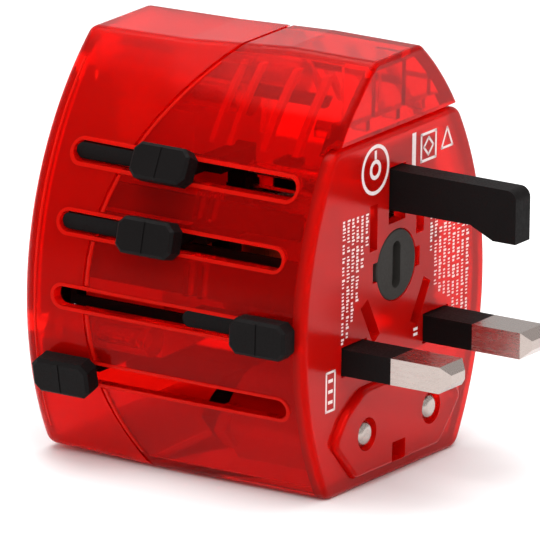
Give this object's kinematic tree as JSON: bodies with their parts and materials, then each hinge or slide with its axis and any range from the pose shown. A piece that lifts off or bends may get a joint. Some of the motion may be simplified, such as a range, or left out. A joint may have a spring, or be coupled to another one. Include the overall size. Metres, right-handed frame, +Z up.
{
  "type": "universal travel adapter",
  "caption": "Pocket travel adapter: sliding plugs at the front with thumb sliders in slots, a bayonet fuse cap and a shuttered universal socket at the back.",
  "frame": {"origin": "centre of the flat underside, half way from the front plate to the back face", "axes": "+Z up, the plugs slide out along -Y, the thumb sliders are on the -X side"},
  "size_m": [0.0527, 0.0703, 0.0632],
  "materials": {
    "clear_red": "translucent red polycarbonate, frosted inside",
    "black_plastic": "fine moulded texture",
    "dark_grey_plastic": "smooth moulded",
    "nickel_plate": "satin nickel plate",
    "steel": "plated steel",
    "brass": "stamped strip",
    "white_ink": "white pad printing",
    "ceramic": "glazed ceramic"
  },
  "bodies": {
    "housing": {"front_shell": "clear_red", "rear_shell": "clear_red", "front_plate": "clear_red", "socket_face": "black_plastic", "shutter_springs": "steel", "contact_carrier": "clear_red", "left_guide": "black_plastic", "right_guide": "clear_red", "live_contact": "brass", "neutral_contact": "brass", "live_busbar": "brass", "neutral_busbar": "brass", "fuse_holder": "black_plastic", "fuse_body": "ceramic", "fuse_end_caps": "nickel_plate", "fuse_spring": "steel", "housing_screws": "steel", "guide_rods": "steel"},
    "shutter": {"socket_shutter": "black_plastic"},
    "fuse_cap": {"fuse_cap": "dark_grey_plastic"},
    "uk_plug": {"uk_carriage": "black_plastic", "uk_knob": "black_plastic", "uk_earth_pin": "black_plastic", "uk_line_pin": "nickel_plate", "uk_neutral_pin": "nickel_plate", "uk_pin_sleeves": "black_plastic"},
    "us_plug": {"us_carriage": "black_plastic", "us_knob": "black_plastic", "us_blades": "nickel_plate"},
    "aus_plug": {"aus_carriage": "black_plastic", "aus_knob": "black_plastic", "aus_blades": "nickel_plate"},
    "euro_block": {"euro_block": "clear_red"},
    "euro_plug": {"euro_carriage": "black_plastic", "euro_knob": "black_plastic", "euro_pins": "nickel_plate", "euro_pin_sleeves": "black_plastic"}
  },
  "joints": [
    {"name": "uk_plug_slide", "type": "slide", "parent": "housing", "child": "uk_plug", "axis": [0, -1, 0], "range_m": [-0.0217, 0]},
    {"name": "us_plug_slide", "type": "slide", "parent": "housing", "child": "us_plug", "axis": [0, -1, 0], "range_m": [0, 0.0176]},
    {"name": "aus_plug_slide", "type": "slide", "parent": "housing", "child": "aus_plug", "axis": [0, -1, 0], "range_m": [0, 0.0176]},
    {"name": "euro_plug_slide", "type": "slide", "parent": "housing", "child": "euro_plug", "axis": [0, -1, 0], "range_m": [0, 0.034]},
    {"name": "euro_block_slide", "type": "slide", "parent": "housing", "child": "euro_block", "axis": [0, -1, 0], "range_m": [0, 0.0146]},
    {"name": "fuse_cap_turn", "type": "hinge", "parent": "housing", "child": "fuse_cap", "pos_m": [0, -0.0245, 0.0316], "axis": [0, -1, 0], "range_deg": [0, 90]},
    {"name": "shutter_slide", "type": "slide", "parent": "housing", "child": "shutter", "axis": [0, 0, 1], "range_m": [0, 0.0089], "stiffness_N_per_m": 250, "springref_m": -0.002, "deforming": ["shutter_springs"]}
  ],
  "couplings": [
    {"joint": "euro_block_slide", "follows": "euro_plug_slide", "ratio": 0.42941}
  ]
}
